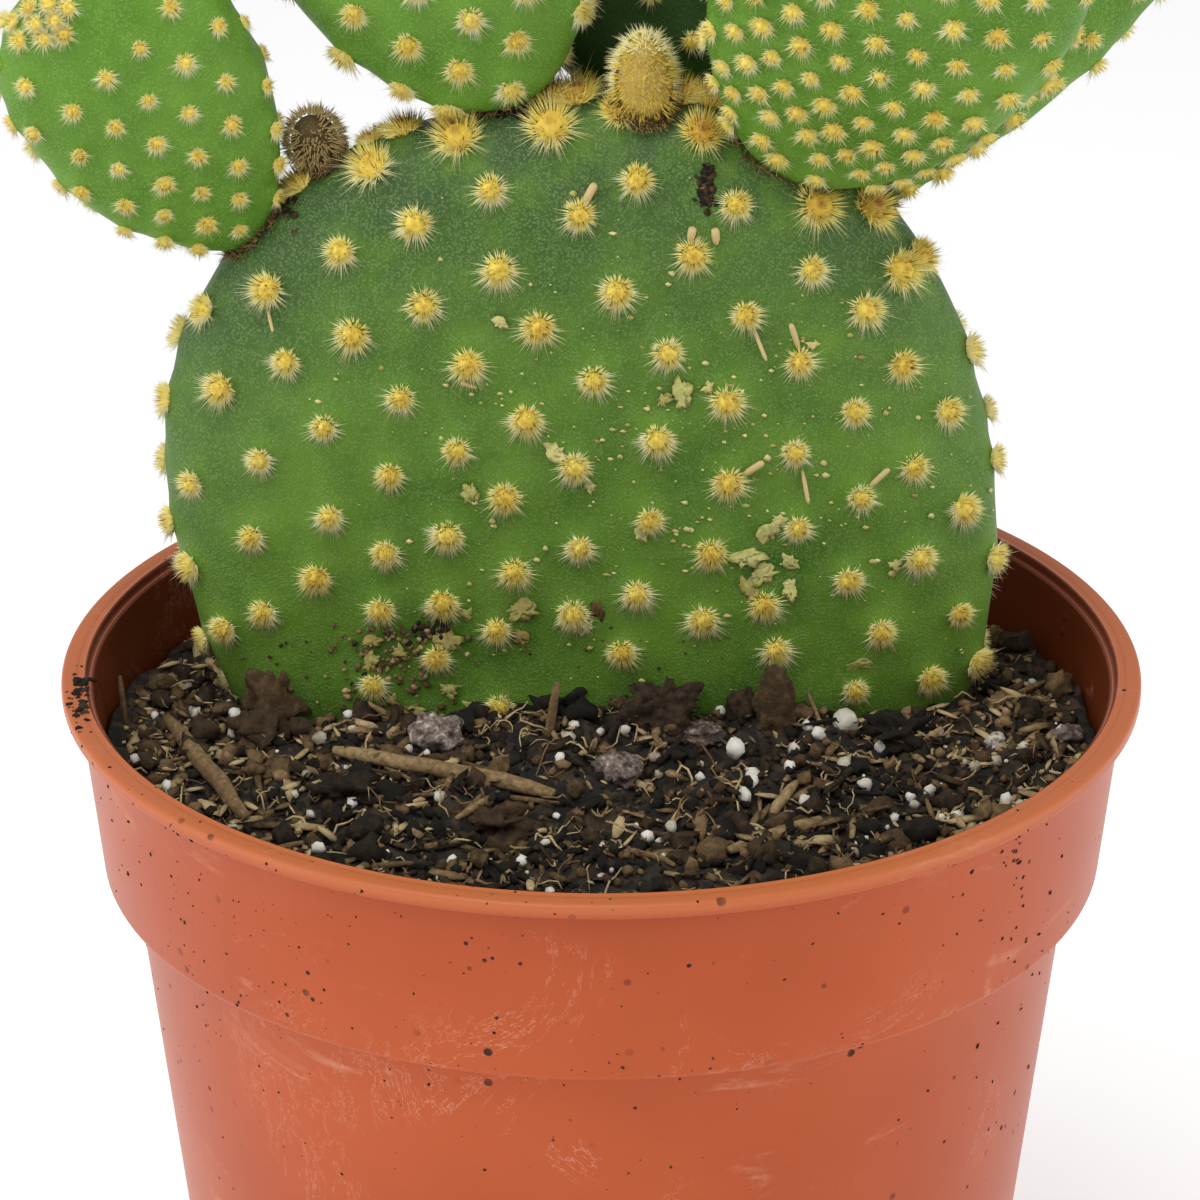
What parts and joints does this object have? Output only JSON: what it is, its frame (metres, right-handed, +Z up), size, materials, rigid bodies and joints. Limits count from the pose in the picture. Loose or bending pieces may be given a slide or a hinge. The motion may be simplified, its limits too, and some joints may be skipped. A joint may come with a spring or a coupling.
{
  "type": "potted cactus",
  "caption": "Small potted bunny-ears cactus: a broad old pad with younger pads and a bud on its rim, dotted with tufts of fine golden spines, in a terracotta-coloured nursery pot.",
  "frame": {"origin": "centre of the pot's base, on the surface that the pot stands on", "axes": "+Z up along the pot's axis; the broad face of the plant looks along -Y; +X to the right seen from the front"},
  "size_m": [0.1153, 0.105, 0.1912],
  "materials": {
    "pot_plastic": "satin moulded terracotta-orange plastic with dirt specks and chalky smears",
    "potting_soil": "loose dark peat with perlite, bark, grit and root fibres",
    "old_pad_skin": "waxy dark green skin with a fine pale grain",
    "young_pad_skin": "smooth velvety light green skin",
    "glochids": "dense brush-like tufts of fine golden spines with cream tips",
    "dry_wool": "dry brown woolly bristles"
  },
  "bodies": {
    "root": {"pot": "pot_plastic", "soil": "potting_soil", "main_pad": "old_pad_skin", "left_pad": "young_pad_skin", "upper_left_pad": "young_pad_skin", "rear_pad": "young_pad_skin", "right_front_pad": "young_pad_skin", "right_rear_pad": "young_pad_skin", "young_bud": "glochids", "dry_bud": "dry_wool"}
  },
  "joints": []
}
